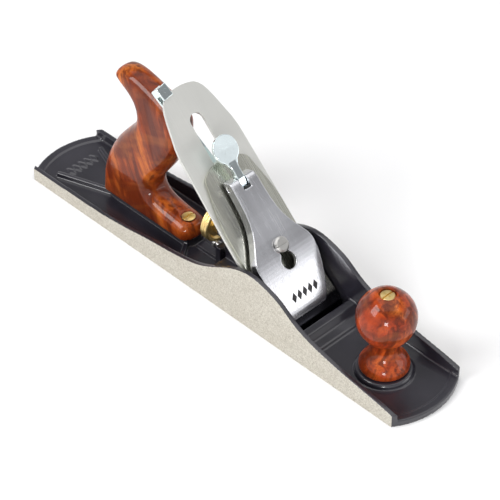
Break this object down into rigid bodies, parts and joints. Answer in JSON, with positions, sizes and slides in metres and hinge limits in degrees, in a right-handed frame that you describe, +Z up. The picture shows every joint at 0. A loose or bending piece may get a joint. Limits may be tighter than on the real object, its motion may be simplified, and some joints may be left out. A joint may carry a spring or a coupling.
{
  "type": "hand plane",
  "caption": "Metal bench plane of the jack size with a screw-adjusted frog, double iron, lever cap, lateral lever, wooden tote and round front knob.",
  "frame": {"origin": "centre of the sole, on its underside", "axes": "+X points to the toe, +Y to the left cheek as seen by the user behind the tote, +Z up"},
  "size_m": [0.36, 0.0636, 0.1339],
  "materials": {
    "japanned_iron": "glossy black japanning with ground cheeks and sole",
    "steel": "ground satin",
    "plated_cap": "satin nickel plate",
    "chrome": "bright plate",
    "brass": "turned brass",
    "wood": "lacquered figured hardwood"
  },
  "bodies": {
    "base": {"body": "japanned_iron", "tote": "wood", "tote_rod": "steel", "tote_nut": "brass", "tote_toe_screw": "brass", "knob": "wood", "knob_rod": "steel", "knob_nut": "brass", "frog_screw_left": "steel", "frog_screw_right": "steel", "frog_washer_left": "steel", "frog_washer_right": "steel"},
    "frog_set": {"frog": "japanned_iron", "frog_adjusting_plate": "steel", "frog_plate_screw": "steel", "depth_stud": "steel", "yoke_pin": "steel", "lateral_pivot_pin": "steel", "lever_cap_screw": "plated_cap"},
    "adjuster": {"frog_adjusting_screw": "steel"},
    "nut": {"depth_nut": "brass"},
    "depth_yoke": {"yoke": "steel"},
    "lateral": {"lateral_lever": "chrome", "lateral_roller": "steel"},
    "irons": {"plane_iron": "steel", "cap_iron": "steel", "cap_iron_screw": "steel"},
    "cap": {"lever_cap": "plated_cap", "lever_cap_spring": "steel", "spring_rivet": "steel", "cam_pin": "steel"},
    "cam": {"cam_lever": "chrome"}
  },
  "joints": [
    {"name": "frog_slide", "type": "slide", "parent": "base", "child": "frog_set", "axis": [1, 0, 0], "range_m": [-0.0015, 0.0015]},
    {"name": "adjuster_turn", "type": "hinge", "parent": "frog_set", "child": "adjuster", "pos_m": [-0.0211, 0, 0.0155], "axis": [1, 0, 0], "range_deg": [-680, 680]},
    {"name": "depth_nut_turn", "type": "hinge", "parent": "frog_set", "child": "nut", "pos_m": [-0.0208, 0, 0.0355], "axis": [1, 0, 0], "range_deg": [-420, 420]},
    {"name": "yoke_rock", "type": "hinge", "parent": "frog_set", "child": "depth_yoke", "pos_m": [0.00946, 0, 0.05098], "axis": [0, 1, 0], "range_deg": [-4.6, 4.6]},
    {"name": "iron_slide", "type": "slide", "parent": "frog_set", "child": "irons", "axis": [0.7071, 0, -0.7071], "range_m": [-0.0008, 0.0008]},
    {"name": "lateral_swing", "type": "hinge", "parent": "frog_set", "child": "lateral", "pos_m": [0.00254, 0, 0.07106], "axis": [0.7071, 0, 0.7071], "range_deg": [-17.2, 3]},
    {"name": "cap_slide", "type": "slide", "parent": "frog_set", "child": "cap", "axis": [-0.7071, 0, 0.7071], "range_m": [0, 0.0113]},
    {"name": "cam_turn", "type": "hinge", "parent": "cap", "child": "cam", "pos_m": [0.00402, 0, 0.08089], "axis": [0, 1, 0], "range_deg": [0, 95]}
  ],
  "couplings": [
    {"joint": "adjuster_turn", "follows": "frog_slide", "rad_per_m": 7854},
    {"joint": "yoke_rock", "follows": "iron_slide", "rad_per_m": 94.34},
    {"joint": "depth_nut_turn", "follows": "iron_slide", "rad_per_m": 8656.5}
  ]
}
